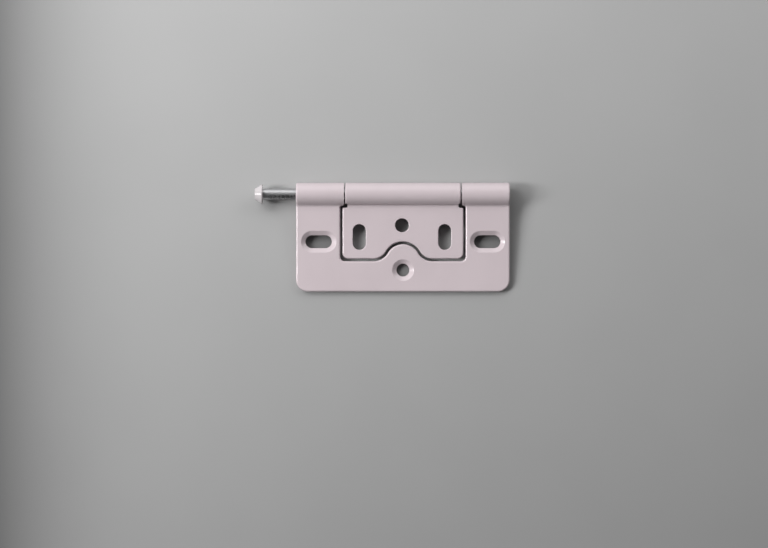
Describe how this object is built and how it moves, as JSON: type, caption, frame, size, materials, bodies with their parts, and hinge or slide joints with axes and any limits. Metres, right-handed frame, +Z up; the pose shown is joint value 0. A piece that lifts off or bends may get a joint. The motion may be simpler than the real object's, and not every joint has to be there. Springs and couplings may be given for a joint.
{
  "type": "flush hinge",
  "caption": "Coated steel flush hinge whose wave-cut inner leaf lies in the window of the outer leaf, with rolled knuckles and a loose pin that slides out by its button head.",
  "frame": {"origin": "centre of the outer leaf's round screw hole, on the leaf's back face", "axes": "+X along the pin away from its head, +Y from the leaves to the barrel, +Z up from the leaves' back face"},
  "size_m": [0.0907, 0.0388, 0.008],
  "materials": {
    "leaf_coat": "satin powder coat",
    "pin_steel": "bright drawn steel",
    "cap_coat": "satin coat"
  },
  "bodies": {
    "outer_leaf": {"outer_leaf": "leaf_coat"},
    "inner_leaf": {"inner_leaf": "leaf_coat"},
    "pin": {"hinge_pin": "pin_steel", "pin_cap": "cap_coat"}
  },
  "joints": [
    {"name": "leaf_swing", "type": "hinge", "parent": "outer_leaf", "child": "inner_leaf", "pos_m": [0, 0.02705, 0.001], "axis": [-1, 0, 0], "range_deg": [0, 180]},
    {"name": "pin_slide", "type": "slide", "parent": "outer_leaf", "child": "pin", "axis": [1, 0, 0], "range_m": [-0.0635, 0.01185]}
  ]
}
